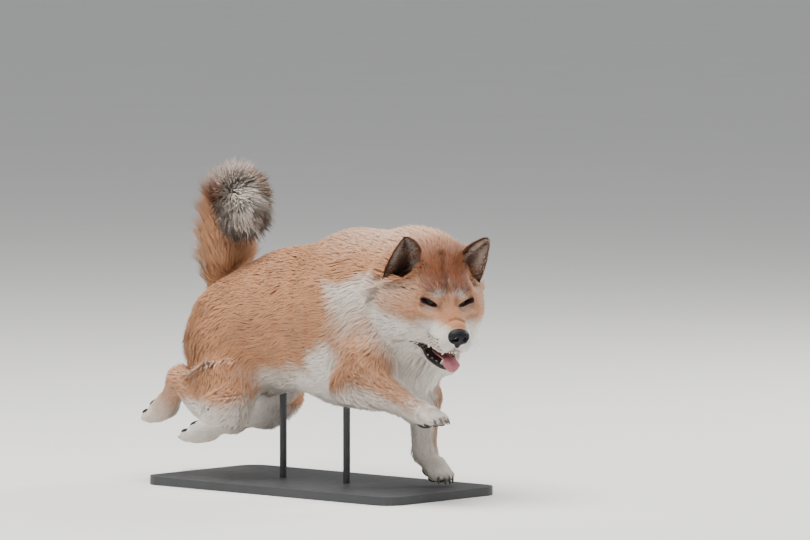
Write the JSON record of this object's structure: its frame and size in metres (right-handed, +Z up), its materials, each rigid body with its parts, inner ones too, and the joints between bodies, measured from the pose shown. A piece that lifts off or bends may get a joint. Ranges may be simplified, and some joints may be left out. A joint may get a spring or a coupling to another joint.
{
  "type": "shiba inu dog model",
  "caption": "Life-size still shiba inu in full gallop, head turned to its right with the mouth open, held by two rods on a flat display plate.",
  "frame": {"origin": "centre of the underside of the display plate", "axes": "+X to where the dog's body points, +Y to the dog's left, +Z up"},
  "size_m": [0.6582, 0.2448, 0.4547],
  "materials": {
    "coat_red": "dense plush fur, orange red with dusky tips",
    "coat_cream": "soft cream fur",
    "leather": "moist black nose leather, lips, pads and claws",
    "eye": "wet, dark brown eye",
    "tongue": "moist pink tongue",
    "stand": "satin dark grey paint"
  },
  "bodies": {
    "root": {"forepaw_right": "coat_cream", "forearm_right": "coat_red", "shoulder_right": "coat_red", "forepaw_left": "coat_cream", "forearm_left": "coat_red", "shoulder_left": "coat_red", "hindpaw_right": "coat_cream", "hock_right": "coat_red", "gaskin_right": "coat_red", "thigh_right": "coat_red", "hindpaw_left": "coat_cream", "hock_left": "coat_red", "gaskin_left": "coat_red", "thigh_left": "coat_red", "tail": "coat_red", "jaw": "coat_cream", "head": "coat_red", "neck": "coat_red", "torso": "coat_red", "eye_left": "eye", "eye_right": "eye", "nose": "leather", "tongue": "tongue", "ear_left": "coat_red", "ear_right": "coat_red", "stand_base": "stand", "stand_rod_front": "stand", "stand_rod_rear": "stand"}
  },
  "joints": []
}
